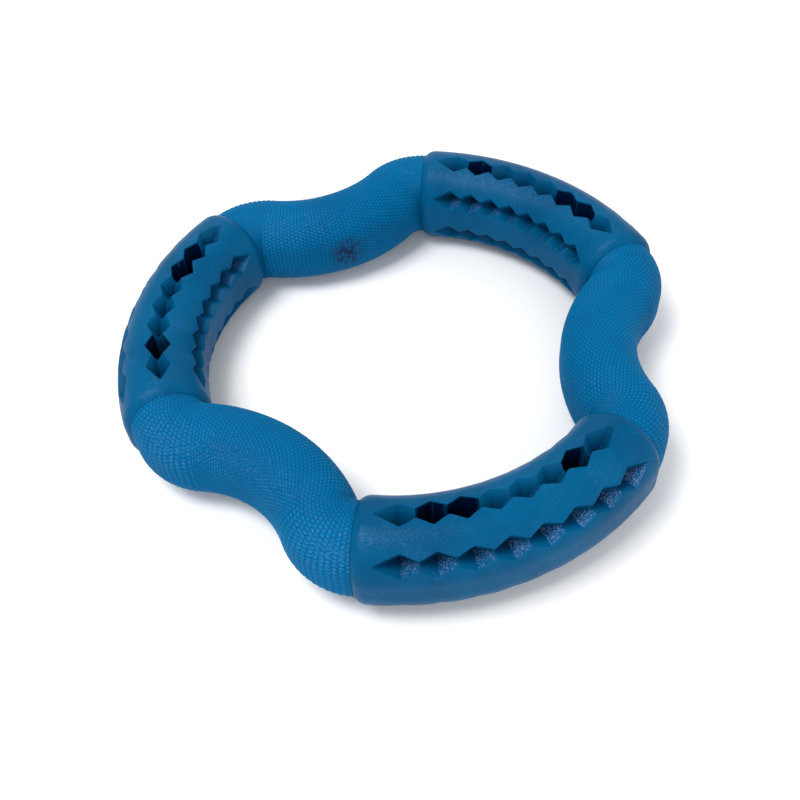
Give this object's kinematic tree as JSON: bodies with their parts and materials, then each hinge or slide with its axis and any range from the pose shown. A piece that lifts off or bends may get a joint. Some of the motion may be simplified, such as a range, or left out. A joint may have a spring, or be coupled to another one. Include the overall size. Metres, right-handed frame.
{
  "type": "flying ring",
  "caption": "Rubber flying and fetch ring: fat segments with rows of rhombic treat pockets alternate with thinner pimpled grips that wave in towards the centre.",
  "frame": {"origin": "centre of the ring at its mid-plane", "axes": "+Z along the ring's axis, up; -Y towards the middle of the front slotted segment"},
  "size_m": [0.18, 0.171, 0.0318],
  "materials": {
    "segment_rubber": "smooth satin natural rubber",
    "grip_rubber": "satin natural rubber with fine pimples"
  },
  "bodies": {
    "root": {"slotted_segment_1": "segment_rubber", "slotted_segment_2": "segment_rubber", "slotted_segment_3": "segment_rubber", "wave_grip_1": "grip_rubber", "wave_grip_2": "grip_rubber", "wave_grip_3": "grip_rubber"}
  },
  "joints": []
}
